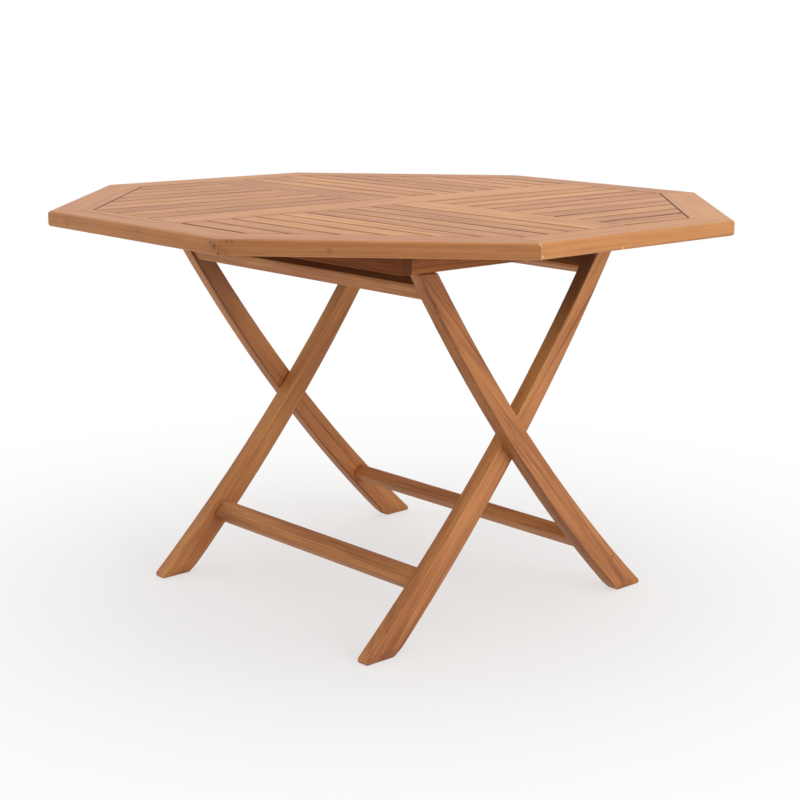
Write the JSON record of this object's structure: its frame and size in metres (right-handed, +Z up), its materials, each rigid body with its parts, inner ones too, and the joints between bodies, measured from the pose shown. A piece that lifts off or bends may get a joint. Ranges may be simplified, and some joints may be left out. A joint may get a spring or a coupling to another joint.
{
  "type": "folding garden table",
  "caption": "Octagonal slatted wooden garden table on curved crossed leg frames that fold flat under the top.",
  "frame": {"origin": "on the ground under the middle of the table top", "axes": "+Z up, +X across the leg crossings towards the hinged side, +Y along the hinge line"},
  "size_m": [1.2, 1.2, 0.75],
  "materials": {
    "teak_top": "oiled, straight grain",
    "teak_under_frame": "oiled, straight grain",
    "teak_legs": "oiled, straight grain",
    "steel": "plain"
  },
  "bodies": {
    "top": {"batten_back": "teak_top", "batten_front": "teak_top", "batten_long": "teak_top", "bearer_back": "teak_under_frame", "bearer_front": "teak_under_frame", "end_rail_left": "teak_under_frame", "end_rail_right": "teak_under_frame", "hinge_bolt_back": "steel", "hinge_bolt_front": "steel", "rim_rail_1": "teak_top", "rim_rail_2": "teak_top", "rim_rail_3": "teak_top", "rim_rail_4": "teak_top", "rim_rail_5": "teak_top", "rim_rail_6": "teak_top", "rim_rail_7": "teak_top", "rim_rail_8": "teak_top", "slat_back_left_1": "teak_top", "slat_back_left_2": "teak_top", "slat_back_left_3": "teak_top", "slat_back_left_4": "teak_top", "slat_back_left_5": "teak_top", "slat_back_left_6": "teak_top", "slat_back_left_7": "teak_top", "slat_back_right_1": "teak_top", "slat_back_right_2": "teak_top", "slat_back_right_3": "teak_top", "slat_back_right_4": "teak_top", "slat_back_right_5": "teak_top", "slat_back_right_6": "teak_top", "slat_back_right_7": "teak_top", "slat_front_left_1": "teak_top", "slat_front_left_2": "teak_top", "slat_front_left_3": "teak_top", "slat_front_left_4": "teak_top", "slat_front_left_5": "teak_top", "slat_front_left_6": "teak_top", "slat_front_left_7": "teak_top", "slat_front_right_1": "teak_top", "slat_front_right_2": "teak_top", "slat_front_right_3": "teak_top", "slat_front_right_4": "teak_top", "slat_front_right_5": "teak_top", "slat_front_right_6": "teak_top", "slat_front_right_7": "teak_top", "slat_pair_back_left": "teak_top", "slat_pair_back_right": "teak_top", "slat_pair_front_left": "teak_top", "slat_pair_front_right": "teak_top"},
    "inner_frame": {"crossing_pin_back": "steel", "crossing_pin_front": "steel", "inner_leg_back": "teak_legs", "inner_leg_front": "teak_legs", "inner_stretcher": "teak_legs", "inner_top_rail": "teak_legs"},
    "outer_frame": {"outer_leg_back": "teak_legs", "outer_leg_front": "teak_legs", "outer_stretcher": "teak_legs", "outer_top_rail": "teak_legs"}
  },
  "joints": [
    {"name": "top_hinge", "type": "hinge", "parent": "top", "child": "inner_frame", "pos_m": [0.26, 0, 0.7], "axis": [0, 1, 0], "range_deg": [0, 44]},
    {"name": "leg_crossing", "type": "hinge", "parent": "inner_frame", "child": "outer_frame", "pos_m": [0, 0, 0.339], "axis": [0, 1, 0], "range_deg": [-93.5, 0]}
  ],
  "couplings": [
    {"joint": "leg_crossing", "follows": "top_hinge", "ratio": -2.12}
  ]
}
